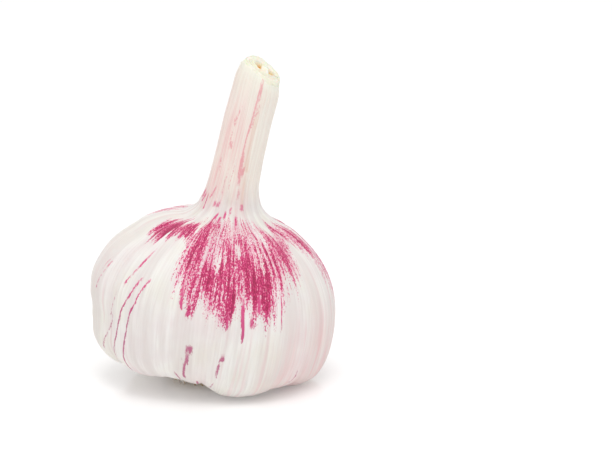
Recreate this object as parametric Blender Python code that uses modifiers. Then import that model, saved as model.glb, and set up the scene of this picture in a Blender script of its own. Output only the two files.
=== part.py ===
"""Garlic bulb, standing on its root plate, with a cut neck that leans to one side.

The bulb is built the way it comes apart: a ring of cloves round a flower stalk, all growing from
a root plate, wrapped in a papery skin that runs on up the neck round an inner leaf sheath.

Units are metres, +Z is up, and the origin is the middle of the root plate's underside.
Angles go round the bulb from the front (-Y) towards +X.
"""
import math

import bmesh
import bpy
import numpy as np

MM = 0.001
GAP = 0.3 * MM
MERGE_DISTANCE = 0.02 * MM
# A new grid reaches this far from its middle before it is wrapped round.
GRID_HALF = 0.5

# The skin's outline over the crest of a clove, from the root plate's rim to past the neck's cut.
# Each row: radius, height, depth of the grooves between cloves (mm), then how much of each clove's
# own lift and own swelling shows there.
SKIN_OUTLINE = (
    (11.8, 2.1, 0.5, 0.0, 0.0),
    (14.4, 0.8, 1.2, 0.5, 0.0),
    (19.0, 0.5, 2.2, 1.0, 0.0),
    (24.2, 1.5, 2.3, 1.0, 0.0),
    (28.2, 5.2, 1.9, 0.9, 0.3),
    (30.5, 11.0, 1.5, 0.75, 0.4),
    (31.3, 18.0, 1.3, 0.5, 0.5),
    (30.4, 25.0, 1.2, 0.25, 1.0),
    (27.7, 31.6, 1.1, 0.1, 0.9),
    (23.2, 37.4, 1.0, 0.0, 0.5),
    (17.4, 41.7, 0.8, 0.0, 0.2),
    (11.6, 44.1, 0.5, 0.0, 0.0),
    (8.3, 46.8, 0.2, 0.0, 0.0),
    (6.9, 50.8, 0.0, 0.0, 0.0),
    (6.4, 57.0, 0.0, 0.0, 0.0),
    (6.2, 65.0, 0.0, 0.0, 0.0),
    (6.0, 75.0, 0.0, 0.0, 0.0),
    (5.7, 94.0, 0.0, 0.0, 0.0),
)
SKIN_THICKNESS = 0.5 * MM
SKIN_COLUMNS = 60
ROWS_PER_SPAN = 2
SLOPE_STEP = 0.05

# Each clove: the groove where it starts (degrees), how far it swells out, how high its base sits (mm).
CLOVES = (
    (-115, 2.4, 3.2),
    (-60, 1.0, 4.0),
    (-3, 0.4, 0.7),
    (56, 0.2, 0.2),
    (110, 0.0, 0.6),
    (150, -0.7, 1.2),
    (178, 0.0, 0.4),
    (211, 0.2, 1.2),
)
GROOVE_SHARPNESS = 2.4
CLOVE_INSET = SKIN_THICKNESS + 0.5 * MM
CLOVE_TOP_SPAN = 11.0
CLOVE_COLUMNS = 6
CLOVE_ROWS = 12
ROW_TOLERANCE = 0.001
CLOVE_TAPER = 0.7
CLOVE_TAPER_START = 0.6
# The clove's inner edge: share of its length, radius, height (mm).
CLOVE_CORE = (
    (0.00, 12.5, 3.0),
    (0.14, 12.0, 3.4),
    (0.24, 9.0, 3.5),
    (0.40, 4.4, 5.0),
    (0.60, 3.6, 16.0),
    (0.82, 3.6, 33.0),
    (1.00, 10.6, 43.4),
)

# The bulb leans as one, and its neck leans a little further.
BULB_LEAN = math.radians(8.0)
NECK_LEAN = math.radians(12.8)
# Heights along the axis where the bulb's lean starts and is full, and the neck's starts and is full.
LEAN_HEIGHTS = (-4 * MM, 10 * MM, 42 * MM, 56 * MM)
AXIS_LENGTH = 110 * MM
AXIS_STEP = 0.5 * MM

# The cut lies in a plane through this point. It falls towards +X, and tips a little to the front.
NECK_CUT_CENTRE = (15.0 * MM, 0.0, 81.6 * MM)
NECK_CUT_SLOPE = math.radians(36.0)
NECK_CUT_TIP = math.radians(12.0)
CUTTER_SIZE = 40 * MM

SHEATH_INSET = SKIN_THICKNESS + GAP
SHEATH_THICKNESS = 0.9 * MM
SHEATH_START_SPAN = 11.5
SHEATH_COLUMNS = 24
SHEATH_ROWS = 8

STALK_RADIUS = 3.1 * MM
STALK_BASE = 3.1 * MM
STALK_TOP = 92 * MM
STALK_POINTS = 12
STALK_BEVEL_RESOLUTION = 4
STALK_SHARP_ANGLE = math.radians(40.0)

# The root plate, turned: radius and height (mm), down its outside.
PLATE_OUTLINE = ((0.0, 2.4), (10.2, 2.4), (11.0, 2.0), (11.0, 1.3), (9.2, 0.0), (0.0, 0.0))
PLATE_STEPS = 48


def smooth_curve(rows, position):
    """Catmull-Rom value of the rows at a position counted in spans."""
    last = len(rows) - 1
    span = min(int(max(position, 0.0)), last - 1)
    share = position - span
    before, start, end, after = (
        np.array(rows[min(max(span + step, 0), last)], dtype=float) for step in (-1, 0, 1, 2)
    )
    return 0.5 * (
        2 * start
        + (end - before) * share
        + (2 * before - 5 * start + 4 * end - after) * share**2
        + (3 * start - before - 3 * end + after) * share**3
    )


def lean_angle(height):
    """How far the bulb's axis tips towards +X at a height along it."""
    foot, straight, shoulder, neck = LEAN_HEIGHTS
    rise = min(max((height - foot) / (straight - foot), 0.0), 1.0)
    turn = min(max((height - shoulder) / (neck - shoulder), 0.0), 1.0)
    rise = rise * rise * (3 - 2 * rise)
    turn = turn * turn * (3 - 2 * turn)
    return BULB_LEAN * rise + (NECK_LEAN - BULB_LEAN) * turn


AXIS_HEIGHTS = np.arange(0.0, AXIS_LENGTH, AXIS_STEP)
AXIS_ANGLES = np.array([lean_angle(height) for height in AXIS_HEIGHTS])
AXIS_X = np.concatenate(([0.0], np.cumsum(np.sin(AXIS_ANGLES)[:-1]))) * AXIS_STEP
AXIS_Z = np.concatenate(([0.0], np.cumsum(np.cos(AXIS_ANGLES)[:-1]))) * AXIS_STEP


def placed(radius, angle, height):
    """A point of the upright bulb, moved to where the leaning bulb has it."""
    lean = float(np.interp(height, AXIS_HEIGHTS, AXIS_ANGLES))
    across = radius * math.sin(angle)
    return (
        float(np.interp(height, AXIS_HEIGHTS, AXIS_X)) + across * math.cos(lean),
        -radius * math.cos(angle),
        float(np.interp(height, AXIS_HEIGHTS, AXIS_Z)) - across * math.sin(lean),
    )


def clove_span(number):
    """The angles where a clove starts and ends."""
    start = math.radians(CLOVES[number][0])
    end = math.radians(CLOVES[(number + 1) % len(CLOVES)][0])
    if end < start:
        end += math.tau
    return start, end


def clove_at(angle):
    """Which clove lies at an angle, and where in it: -1 at its start, 0 at its crest, 1 at its end."""
    first = math.radians(CLOVES[0][0])
    angle = first + (angle - first) % math.tau
    for number in range(len(CLOVES)):
        start, end = clove_span(number)
        if angle < end or number == len(CLOVES) - 1:
            return number, 2 * (angle - start) / (end - start) - 1


def between_crests(angle, column):
    """A value that each clove has at its crest, blended smoothly from one crest to the next."""
    number, place = clove_at(angle)
    neighbour = (number + (1 if place > 0 else -1)) % len(CLOVES)
    here = CLOVES[number][column]
    there = CLOVES[neighbour][column]
    share = 0.5 - 0.5 * math.cos(math.pi * place**2)
    return here + 0.5 * share * (there - here)


def skin_point(angle, position, inset=0.0):
    """A point on the papery skin, or that far inside it."""
    radius, height, groove, lift_share, swelling_share = smooth_curve(SKIN_OUTLINE, position)
    ahead = smooth_curve(SKIN_OUTLINE, position + SLOPE_STEP)
    behind = smooth_curve(SKIN_OUTLINE, position - SLOPE_STEP)
    run, climb = ahead[0] - behind[0], ahead[1] - behind[1]
    length = math.hypot(run, climb)
    place = clove_at(angle)[1]
    swelling = between_crests(angle, 1) * swelling_share
    depth = inset / MM + groove * abs(place) ** GROOVE_SHARPNESS - swelling
    radius -= depth * climb / length
    height += depth * run / length + between_crests(angle, 2) * lift_share
    return placed(radius * MM, angle, height * MM)


def wrapped_grid(name, columns, rows, place_point):
    """A grid wrapped round into a tube: place_point takes the shares round it and along it."""
    mesh = bpy.data.meshes.new(name)
    grid = bmesh.new()
    bmesh.ops.create_grid(grid, x_segments=columns, y_segments=rows, size=GRID_HALF)
    for vertex in grid.verts:
        vertex.co = place_point(vertex.co.x + GRID_HALF, vertex.co.y + GRID_HALF)
    bmesh.ops.remove_doubles(grid, verts=grid.verts, dist=MERGE_DISTANCE)
    grid.to_mesh(mesh)
    grid.free()
    mesh.shade_smooth()
    return bpy.data.objects.new(name, mesh)


def add_shell(thing, thickness):
    """Thicken an open surface inwards."""
    solid = thing.modifiers.new("thickness", "SOLIDIFY")
    solid.thickness = thickness
    solid.offset = -1.0


def add_cut(thing, cutter):
    """Cut a piece off at the neck's sloping end."""
    cut = thing.modifiers.new("neck_cut", "BOOLEAN")
    cut.operation = "DIFFERENCE"
    cut.solver = "EXACT"
    cut.object = cutter


def add_material(thing, colour, roughness):
    """Give a piece a material of its own."""
    material = bpy.data.materials.new(thing.name)
    material.use_nodes = True
    shader = material.node_tree.nodes["Principled BSDF"]
    shader.inputs["Base Color"].default_value = (*colour, 1.0)
    shader.inputs["Roughness"].default_value = roughness
    shader.inputs["Metallic"].default_value = 0.0
    thing.data.materials.append(material)


def make_neck_cutter():
    """A block whose underside is the plane of the neck's cut."""
    mesh = bpy.data.meshes.new("neck_cutter")
    block = bmesh.new()
    bmesh.ops.create_cube(block, size=CUTTER_SIZE)
    bmesh.ops.translate(block, verts=block.verts, vec=(0.0, 0.0, CUTTER_SIZE / 2))
    block.to_mesh(mesh)
    block.free()
    cutter = bpy.data.objects.new("neck_cutter", mesh)
    cutter.location = NECK_CUT_CENTRE
    cutter.rotation_euler = (NECK_CUT_TIP, NECK_CUT_SLOPE, 0.0)
    cutter.hide_render = True
    cutter.display_type = "WIRE"
    return cutter


def make_outer_skin(cutter):
    """The papery skin, open at the root plate and at the neck's cut."""
    spans = len(SKIN_OUTLINE) - 1

    def place_point(around, along):
        return skin_point(math.tau * around, spans * along)

    skin = wrapped_grid("outer_skin", SKIN_COLUMNS, spans * ROWS_PER_SPAN, place_point)
    add_shell(skin, SKIN_THICKNESS)
    add_cut(skin, cutter)
    add_material(skin, (0.86, 0.78, 0.74), 0.55)
    return skin


def make_inner_sheath(cutter):
    """The leaf sheath inside the neck, seen at the cut."""
    spans = len(SKIN_OUTLINE) - 1 - SHEATH_START_SPAN

    def place_point(around, along):
        return skin_point(math.tau * around, SHEATH_START_SPAN + spans * along, SHEATH_INSET)

    sheath = wrapped_grid("inner_sheath", SHEATH_COLUMNS, SHEATH_ROWS, place_point)
    add_shell(sheath, SHEATH_THICKNESS)
    add_cut(sheath, cutter)
    add_material(sheath, (0.88, 0.83, 0.66), 0.5)
    return sheath


def make_flower_stalk(cutter):
    """The stalk up the middle, a round rod that follows the bulb's lean."""
    curve = bpy.data.curves.new("flower_stalk", "CURVE")
    curve.dimensions = "3D"
    curve.bevel_depth = STALK_RADIUS
    curve.bevel_resolution = STALK_BEVEL_RESOLUTION
    curve.use_fill_caps = True
    path = curve.splines.new("POLY")
    path.points.add(STALK_POINTS - 1)
    for number, point in enumerate(path.points):
        height = STALK_BASE + (STALK_TOP - STALK_BASE) * number / (STALK_POINTS - 1)
        point.co = (*placed(0.0, 0.0, height), 1.0)
    rod = bpy.data.objects.new("stalk_path", curve)
    bpy.context.scene.collection.objects.link(rod)
    bpy.context.view_layer.update()
    evaluated = rod.evaluated_get(bpy.context.evaluated_depsgraph_get())
    mesh = bpy.data.meshes.new_from_object(evaluated)
    bpy.data.objects.remove(rod)
    mesh.name = "flower_stalk"
    body = bmesh.new()
    body.from_mesh(mesh)
    bmesh.ops.remove_doubles(body, verts=body.verts, dist=MERGE_DISTANCE)
    body.to_mesh(mesh)
    body.free()
    mesh.shade_smooth()
    mesh.set_sharp_from_angle(angle=STALK_SHARP_ANGLE)
    stalk = bpy.data.objects.new("flower_stalk", mesh)
    add_cut(stalk, cutter)
    add_material(stalk, (0.85, 0.76, 0.48), 0.6)
    return stalk


def make_root_plate():
    """The disc that the cloves grow from, turned, with a flat underside that the bulb stands on."""
    mesh = bpy.data.meshes.new("root_plate")
    outline = [(radius * MM, 0.0, height * MM) for radius, height in PLATE_OUTLINE]
    edges = [(number, number + 1) for number in range(len(outline) - 1)]
    mesh.from_pydata(outline, edges, [])
    plate = bpy.data.objects.new("root_plate", mesh)
    turn = plate.modifiers.new("turned", "SCREW")
    turn.steps = PLATE_STEPS
    turn.render_steps = PLATE_STEPS
    turn.use_merge_vertices = True
    turn.merge_threshold = MERGE_DISTANCE
    turn.use_smooth_shade = False
    add_material(plate, (0.72, 0.60, 0.42), 0.9)
    return plate


def make_clove(number):
    """A clove: a wedge between two grooves, round outside, thin at the stalk, and pointed on top."""
    start, end = clove_span(number)
    middle = (start + end) / 2
    shares, core_radii, core_heights = zip(*CLOVE_CORE)
    columns = 2 * (CLOVE_COLUMNS + 1)

    def place_point(around, along):
        column = round(around * columns) % columns
        outside = column <= CLOVE_COLUMNS
        across = 2 * column / CLOVE_COLUMNS - 1
        if not outside:
            across = 1 - 2 * (column - CLOVE_COLUMNS - 1) / CLOVE_COLUMNS
        core_radius = float(np.interp(along, shares, core_radii)) * MM
        core_height = float(np.interp(along, shares, core_heights)) * MM
        if along > 1 - ROW_TOLERANCE:
            return placed(core_radius, middle, core_height)
        at_base = along < ROW_TOLERANCE
        outer_radius = smooth_curve(SKIN_OUTLINE, CLOVE_TOP_SPAN * along)[0] * MM
        edge_gap = GAP / (outer_radius if outside or at_base else core_radius)
        taper = 1 - CLOVE_TAPER * max((along - CLOVE_TAPER_START) / (1 - CLOVE_TAPER_START), 0.0) ** 2
        angle = middle + across * ((end - start) / 2 - edge_gap) * taper
        if outside or at_base:
            return skin_point(angle, CLOVE_TOP_SPAN * along, CLOVE_INSET)
        return placed(core_radius, angle, core_height)

    clove = wrapped_grid(f"clove_{number + 1}", columns, CLOVE_ROWS, place_point)
    add_material(clove, (0.80, 0.66, 0.62), 0.4)
    return clove


def main():
    for thing in list(bpy.data.objects):
        bpy.data.objects.remove(thing)
    bulb = bpy.data.collections.new("garlic_bulb")
    hidden = bpy.data.collections.new("cutters")
    bpy.context.scene.collection.children.link(bulb)
    bpy.context.scene.collection.children.link(hidden)
    cutter = make_neck_cutter()
    hidden.objects.link(cutter)
    bulb.objects.link(make_outer_skin(cutter))
    bulb.objects.link(make_inner_sheath(cutter))
    bulb.objects.link(make_flower_stalk(cutter))
    bulb.objects.link(make_root_plate())
    for number in range(len(CLOVES)):
        bulb.objects.link(make_clove(number))


main()
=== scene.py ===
# %% [markdown]
# # A garlic bulb
#
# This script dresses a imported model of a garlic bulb. The model fixes the size and the place of
# every part. The script gives the parts their fine shape and their finish: papery skin with
# magenta streaks, a cut neck, a root plate with its cut roots, and the cloves inside.
#
# Units are metres. Heights and radii that describe the bulb are in millimetres and are turned
# into metres at the end, because a bulb is easier to think about that way.

# %% Load the frame
import math

import bpy
import numpy as np
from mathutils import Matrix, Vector


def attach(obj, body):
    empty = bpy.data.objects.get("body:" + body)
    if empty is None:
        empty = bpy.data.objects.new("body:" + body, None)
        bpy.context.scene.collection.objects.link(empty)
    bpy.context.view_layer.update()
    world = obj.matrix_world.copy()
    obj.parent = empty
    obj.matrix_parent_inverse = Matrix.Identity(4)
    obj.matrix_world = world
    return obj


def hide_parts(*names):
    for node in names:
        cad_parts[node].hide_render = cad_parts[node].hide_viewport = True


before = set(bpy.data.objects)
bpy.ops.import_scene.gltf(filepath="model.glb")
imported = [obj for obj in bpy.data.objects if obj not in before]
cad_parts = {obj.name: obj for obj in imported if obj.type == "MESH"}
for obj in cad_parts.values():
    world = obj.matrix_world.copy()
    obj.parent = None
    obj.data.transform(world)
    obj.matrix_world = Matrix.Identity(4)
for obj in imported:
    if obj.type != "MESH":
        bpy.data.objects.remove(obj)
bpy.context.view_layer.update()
MM = 0.001
print("nodes:", sorted(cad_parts))

# %% [markdown]
# ## The bulb's form
#
# Every layer of a bulb follows the same form: it starts at the root plate, bulges over the
# cloves, draws in at the shoulder and runs up the neck. So one function holds that form, and the
# skin, the sheath, the shreds and the stalk all ask it for their points. A place on the bulb is
# given by two numbers: the angle round it from the front (-Y) towards +X, and the position along
# the outline, counted in spans between the outline's points.

# %% The outline over the crest of a clove
# radius, height, groove depth (mm), then the share of each clove's own lift and swelling
OUTLINE = np.array(
    (
        (11.8, 2.1, 0.5, 0.0, 0.0),
        (14.4, 0.8, 1.2, 0.5, 0.0),
        (19.0, 0.5, 2.2, 1.0, 0.0),
        (24.2, 1.5, 2.3, 1.0, 0.0),
        (28.2, 5.2, 1.9, 0.9, 0.3),
        (30.5, 11.0, 1.5, 0.75, 0.4),
        (31.3, 18.0, 1.3, 0.5, 0.5),
        (30.4, 25.0, 1.2, 0.25, 1.0),
        (27.7, 31.6, 1.1, 0.1, 0.9),
        (23.2, 37.4, 1.0, 0.0, 0.5),
        (17.4, 41.7, 0.8, 0.0, 0.2),
        (11.6, 44.1, 0.5, 0.0, 0.0),
        (8.3, 46.8, 0.2, 0.0, 0.0),
        (6.9, 50.8, 0.0, 0.0, 0.0),
        (6.4, 57.0, 0.0, 0.0, 0.0),
        (6.2, 65.0, 0.0, 0.0, 0.0),
        (6.0, 75.0, 0.0, 0.0, 0.0),
        (5.7, 94.0, 0.0, 0.0, 0.0),
    )
)
SPANS = len(OUTLINE) - 1


def outline_at(position):
    """Catmull-Rom values of the outline's columns at positions counted in spans."""
    position = np.asarray(position, dtype=float)
    span = np.clip(np.floor(position).astype(int), 0, SPANS - 1)
    share = (position - span)[..., None]
    before, start, end, after = (
        OUTLINE[np.clip(span + step, 0, SPANS)] for step in (-1, 0, 1, 2)
    )
    return 0.5 * (
        2 * start
        + (end - before) * share
        + (2 * before - 5 * start + 4 * end - after) * share**2
        + (3 * start - before - 3 * end + after) * share**3
    )


print("outline spans:", SPANS)

# %% [markdown]
# The cloves aren't all alike. Each one has its own groove, its own swelling and its own lift off
# the surface. The values belong to a clove's crest, and blend from one crest to the next.

# %% The cloves round the bulb
# the groove where it starts (degrees), how far it swells out and how high its base sits (mm)
CLOVES = np.array(
    (
        (-115, 2.4, 3.2),
        (-60, 1.0, 4.0),
        (-3, 0.4, 0.7),
        (56, 0.2, 0.2),
        (110, 0.0, 0.6),
        (150, -0.7, 1.2),
        (178, 0.0, 0.4),
        (211, 0.2, 1.2),
    )
)
GROOVE_SHARPNESS = 2.4
FIRST_GROOVE = math.radians(CLOVES[0][0])
GROOVES = np.radians(np.append(CLOVES[:, 0], CLOVES[0][0] + 360))


def clove_at(angle):
    """Which clove lies at an angle, and where in it: -1 and 1 at its grooves, 0 at its crest."""
    turned = FIRST_GROOVE + (angle - FIRST_GROOVE) % math.tau
    number = np.clip(np.searchsorted(GROOVES, turned, side="right") - 1, 0, len(CLOVES) - 1)
    start, end = GROOVES[number], GROOVES[number + 1]
    return number, 2 * (turned - start) / (end - start) - 1


def between_crests(angle, column):
    """A clove's own value, blended smoothly from one crest to the next."""
    number, place = clove_at(angle)
    neighbour = (number + np.where(place > 0, 1, -1)) % len(CLOVES)
    here, there = CLOVES[number, column], CLOVES[neighbour, column]
    return here + 0.25 * (1 - np.cos(math.pi * place**2)) * (there - here)


print("cloves:", len(CLOVES))

# %% [markdown]
# The bulb leans a little towards +X and its neck leans further. The lean is an angle for each
# height; adding up small steps in its direction gives the line that the rings sit on.

# %% The lean
BULB_LEAN = math.radians(8.0)
NECK_LEAN = math.radians(12.8)
# the heights (mm) over which the bulb takes up its lean, and the neck bends to its own
BULB_BEND = (-4.0, 10.0)
NECK_BEND = (42.0, 56.0)
HEIGHT_STEP = 0.5
HEIGHTS = np.arange(0.0, 110.0, HEIGHT_STEP)


def eased(value, low, high):
    """0 below low, 1 above high, and a smooth step between."""
    share = np.clip((value - low) / (high - low), 0.0, 1.0)
    return share * share * (3 - 2 * share)


NECK_SHARE = eased(HEIGHTS, *NECK_BEND)
LEANS = BULB_LEAN * eased(HEIGHTS, *BULB_BEND) + (NECK_LEAN - BULB_LEAN) * NECK_SHARE
AXIS_X = np.concatenate(([0.0], np.cumsum(np.sin(LEANS)[:-1]))) * HEIGHT_STEP
AXIS_Z = np.concatenate(([0.0], np.cumsum(np.cos(LEANS)[:-1]))) * HEIGHT_STEP
# half the stretch of outline (in spans) over which its slope is measured
SLOPE_REACH = 0.05


def placed(radius, angle, height):
    """Points of the upright bulb (mm), moved to where the leaning bulb has them (metres)."""
    lean = np.interp(height, HEIGHTS, LEANS)
    across = radius * np.sin(angle)
    x = np.interp(height, HEIGHTS, AXIS_X) + across * np.cos(lean)
    y = -radius * np.cos(angle)
    z = np.interp(height, HEIGHTS, AXIS_Z) - across * np.sin(lean)
    return np.stack(np.broadcast_arrays(x, y, z), axis=-1) * MM


def bulb_surface(angle, position, raised=0.0):
    """Points on the bulb's smooth form, raised outwards by so many millimetres."""
    radius, height, groove, lift_share, swelling_share = np.moveaxis(outline_at(position), -1, 0)
    slope = outline_at(position + SLOPE_REACH) - outline_at(position - SLOPE_REACH)
    length = np.hypot(slope[..., 0], slope[..., 1])
    place = clove_at(angle)[1]
    out = raised + between_crests(angle, 1) * swelling_share
    out = out - groove * np.abs(place) ** GROOVE_SHARPNESS
    radius = radius + out * slope[..., 1] / length
    height = height - out * slope[..., 0] / length + between_crests(angle, 2) * lift_share
    return placed(radius, angle, height)


print("neck's middle at the top:", placed(0.0, 0.0, 82.0))

# %% [markdown]
# ## Random but repeatable
#
# Skin is never regular, yet the script has to give the same bulb each time. This noise looks up
# seeded random numbers in a table that wraps round the bulb, and blends between them. Few cells
# along and many round gives long fibres; equal numbers give blotches.

# %% Noise that follows the surface


def patchy(angle, position, around, along, seed):
    """Smooth random values from -1 to 1: so many cells in a turn, and in a span."""
    table = np.random.default_rng(seed).uniform(-1, 1, (around, int(along * (SPANS + 2)) + 4))
    x = (angle / math.tau * around) % around
    y = (np.asarray(position) + 1) * along
    column, row = np.floor(x).astype(int) % around, np.floor(y).astype(int)
    across, up = eased(x - np.floor(x), 0, 1), eased(y - row, 0, 1)
    low = table[column, row] * (1 - across) + table[(column + 1) % around, row] * across
    high = table[column, row + 1] * (1 - across) + table[(column + 1) % around, row + 1] * across
    return low * (1 - up) + high * up


def layered(angle, position, *layers):
    """A sum of noises. Each is given as its strength, its cells in a turn and a span, its seed."""
    return sum(strength * patchy(angle, position, *cells) for strength, *cells in layers)


def window(value, start, full_from, full_to, end):
    """1 between the two middle values, easing to 0 at the outer two."""
    return eased(value, start, full_from) * (1 - eased(value, full_to, end))


# %% [markdown]
# ## Tools for making pieces
#
# An operator works on whatever is selected, and the loaded nodes come in selected, so each piece
# starts by clearing the selection. A sheet that wraps round the bulb starts as a flat grid: its
# points are moved to the bulb, and the edges that meet are merged.

# %% Selecting, merging and handing over a piece


def only(thing):
    """Select one object and nothing else."""
    bpy.ops.object.select_all(action="DESELECT")
    thing.select_set(True)
    bpy.context.view_layer.objects.active = thing


def named(name):
    """The object that an operator has just made, under its own name."""
    thing = bpy.context.object
    thing.name = name
    thing.data.name = name
    return thing


def merged(thing, distance):
    """Merge the points of a mesh that are closer than a distance."""
    only(thing)
    bpy.ops.object.mode_set(mode="EDIT")
    bpy.ops.mesh.select_all(action="SELECT")
    bpy.ops.mesh.remove_doubles(threshold=distance)
    bpy.ops.object.mode_set(mode="OBJECT")
    return thing


def joined(things, name):
    """Join objects into one."""
    bpy.ops.object.select_all(action="DESELECT")
    for thing in things:
        thing.select_set(True)
    bpy.context.view_layer.objects.active = things[0]
    bpy.ops.object.join()
    return named(name)


def hand_over(piece, material, slot, *nodes):
    """Give a finished piece its material and its place in the frame."""
    piece.data.materials.clear()
    piece.data.materials.append(material)
    only(piece)
    bpy.ops.object.shade_smooth()
    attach(piece, "root")
    if nodes:
        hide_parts(*nodes)
    print(piece.name, "faces:", len(piece.data.polygons))


# %% A flat grid wrapped round the bulb


def wrapped_sheet(name, columns, rows, shape, seam=0.02 * MM):
    """A grid whose points go where shape says. shape takes the turn (0 to 1) and the row (0 to
    rows) of every point, and gives the points, their map coordinates and a dict of attributes."""
    bpy.ops.object.select_all(action="DESELECT")
    bpy.ops.mesh.primitive_grid_add(x_subdivisions=columns, y_subdivisions=rows, size=1)
    sheet = named(name)
    mesh = sheet.data
    flat = np.zeros(len(mesh.vertices) * 3)
    mesh.vertices.foreach_get("co", flat)
    flat = flat.reshape(-1, 3)
    turn = np.round((flat[:, 0] + 0.5) * columns) / columns
    row = np.round((flat[:, 1] + 0.5) * rows).astype(int)
    points, chart, attributes = shape(turn, row)
    mesh.vertices.foreach_set("co", points.astype(np.float32).ravel())
    corners = np.zeros(len(mesh.loops), dtype=int)
    mesh.loops.foreach_get("vertex_index", corners)
    mesh.uv_layers[0].name = "chart"
    mesh.uv_layers["chart"].data.foreach_set("uv", chart[corners].astype(np.float32).ravel())
    for label, values in attributes.items():
        mesh.attributes.new(label, "FLOAT", "POINT").data.foreach_set("value", values)
    mesh.update()
    return merged(sheet, seam)


# %% [markdown]
# ## Shader arithmetic
#
# A pattern is arithmetic on what the nodes measure. Wrapping a socket in a small class lets that
# arithmetic be written as a Python expression, and each operator adds its Math node.

# %% A socket that can be used in sums


class Signal:
    """A value in a material. Sums on it add Math nodes."""

    def __init__(self, finish, socket):
        self.finish = finish
        self.socket = socket

    def _math(self, operation, *values):
        node = self.finish.node("ShaderNodeMath", {"operation": operation}, *values)
        return Signal(self.finish, node.outputs[0])

    def __add__(self, other):
        return self._math("ADD", self, other)

    def __radd__(self, other):
        return self._math("ADD", other, self)

    def __sub__(self, other):
        return self._math("SUBTRACT", self, other)

    def __rsub__(self, other):
        return self._math("SUBTRACT", other, self)

    def __mul__(self, other):
        return self._math("MULTIPLY", self, other)

    def __rmul__(self, other):
        return self._math("MULTIPLY", other, self)

    def absolute(self):
        return self._math("ABSOLUTE", self)

    def most(self, other):
        return self._math("MAXIMUM", self, other)

    def sine(self):
        return self._math("SINE", self)

    def cosine(self):
        return self._math("COSINE", self)

    def step(self, low, high):
        """0 below low, 1 above high, smooth between. With low above high it falls instead."""
        falls = low > high
        node = self.finish.node(
            "ShaderNodeMapRange",
            {"interpolation_type": "SMOOTHSTEP"},
            self,
            min(low, high),
            max(low, high),
            1.0 if falls else 0.0,
            0.0 if falls else 1.0,
        )
        return Signal(self.finish, node.outputs[0])


# %% A material under construction


class Finish:
    """A material, and the one method that adds its nodes."""

    def __init__(self, name, **constants):
        self.material = bpy.data.materials.new(name)
        self.material.use_nodes = True
        self.tree = self.material.node_tree
        self.shader = self.tree.nodes["Principled BSDF"]
        for label, value in constants.items():
            self.shader.inputs[label.replace("_", " ")].default_value = value

    def node(self, kind, settings, *values, **named_values):
        """Add a node: its settings first, then its sockets by order or by name."""
        node = self.tree.nodes.new(kind)
        for label, value in settings.items():
            if label == "stops":
                while len(node.color_ramp.elements) < len(value):
                    node.color_ramp.elements.new(1.0)
                for element, (place, colour) in zip(node.color_ramp.elements, value):
                    element.position = place
                    element.color = (*colour, 1.0)
            else:
                setattr(node, label, value)
        sockets = list(zip(node.inputs, values))
        sockets += [(node.inputs[label.replace("_", " ")], v) for label, v in named_values.items()]
        for socket, value in sockets:
            self.feed(socket, value)
        return node

    def feed(self, socket, value):
        """Set a socket to a number or a colour, or link it to another socket."""
        if isinstance(value, Signal):
            value = value.socket
        if isinstance(value, bpy.types.NodeSocket):
            self.tree.links.new(value, socket)
        elif value is not None:
            if hasattr(value, "__len__") and len(value) == 3 and len(socket.default_value) == 4:
                value = (*value, 1.0)
            socket.default_value = value

    def signal(self, socket):
        return Signal(self, socket)

    def attribute(self, label):
        return self.signal(self.node("ShaderNodeAttribute", {"attribute_name": label}).outputs["Fac"])

    def noise(self, vector, scale=1.0, detail=2.0, roughness=0.5):
        settings = {"noise_dimensions": "3D"}
        node = self.node(
            "ShaderNodeTexNoise", settings, Vector=vector, Scale=scale, Detail=detail, Roughness=roughness
        )
        return self.signal(node.outputs["Fac"])

    def blend(self, share, colour, other):
        """Mix two colours."""
        node = self.node("ShaderNodeMix", {"data_type": "RGBA", "clamp_factor": True})
        self.feed(node.inputs["Factor"], share)
        self.feed(node.inputs[6], colour)
        self.feed(node.inputs[7], other)
        return node.outputs[2]

    def ramp(self, share, *stops):
        return self.node("ShaderNodeValToRGB", {"stops": stops}, share).outputs["Color"]

    def bump(self, height, distance, strength=1.0, under=None):
        node = self.node("ShaderNodeBump", {}, Strength=strength, Distance=distance, Height=height)
        self.feed(node.inputs["Normal"], under)
        return node.outputs["Normal"]

    def done(self, **inputs):
        for label, value in inputs.items():
            self.feed(self.shader.inputs[label.replace("_", " ")], value)
        print("material", self.material.name, "nodes:", len(self.tree.nodes))
        return self.material


def srgb(red, green, blue):
    """A colour given as it looks on a screen, from 0 to 255, as the linear values of a shader."""
    shares = (channel / 255 for channel in (red, green, blue))
    return tuple(s / 12.92 if s <= 0.04045 else ((s + 0.055) / 1.055) ** 2.4 for s in shares)


# %% [markdown]
# ## The papery skin
#
# The outer skin is one dry sheet. It is thin, silky and slightly see-through, and it takes the
# shape of what is under it: lobes over the cloves, pleats where it is gathered into the neck, and
# fibres that run all the way from the root plate to the neck.
#
# The sheet is closed: its rows go up the outside, over the cut rim, and down the inside again.
# The rows outside are spaced evenly by length, so that the pleats are as fine as the lobes.

# %% Where the neck is cut
CUT_MIDDLE = np.array((15.0, 0.0, 81.6)) * MM
CUT_SLOPE = math.radians(36.0)
CUT_TIP = math.radians(12.0)
CUT_NORMAL = np.array(
    (
        math.cos(CUT_TIP) * math.sin(CUT_SLOPE),
        -math.sin(CUT_TIP),
        math.cos(CUT_TIP) * math.cos(CUT_SLOPE),
    )
)
RIM_WEAR = 2.3


def above_cut(points):
    """How far points are above the plane of the cut, in mm."""
    return (points - CUT_MIDDLE) @ CUT_NORMAL / MM


def crossing(heights, trial, below):
    """The trial value at which each row of heights passes so far below the cut."""
    return np.array([np.interp(-b, h, trial) for h, b in zip(heights, below)])


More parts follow.
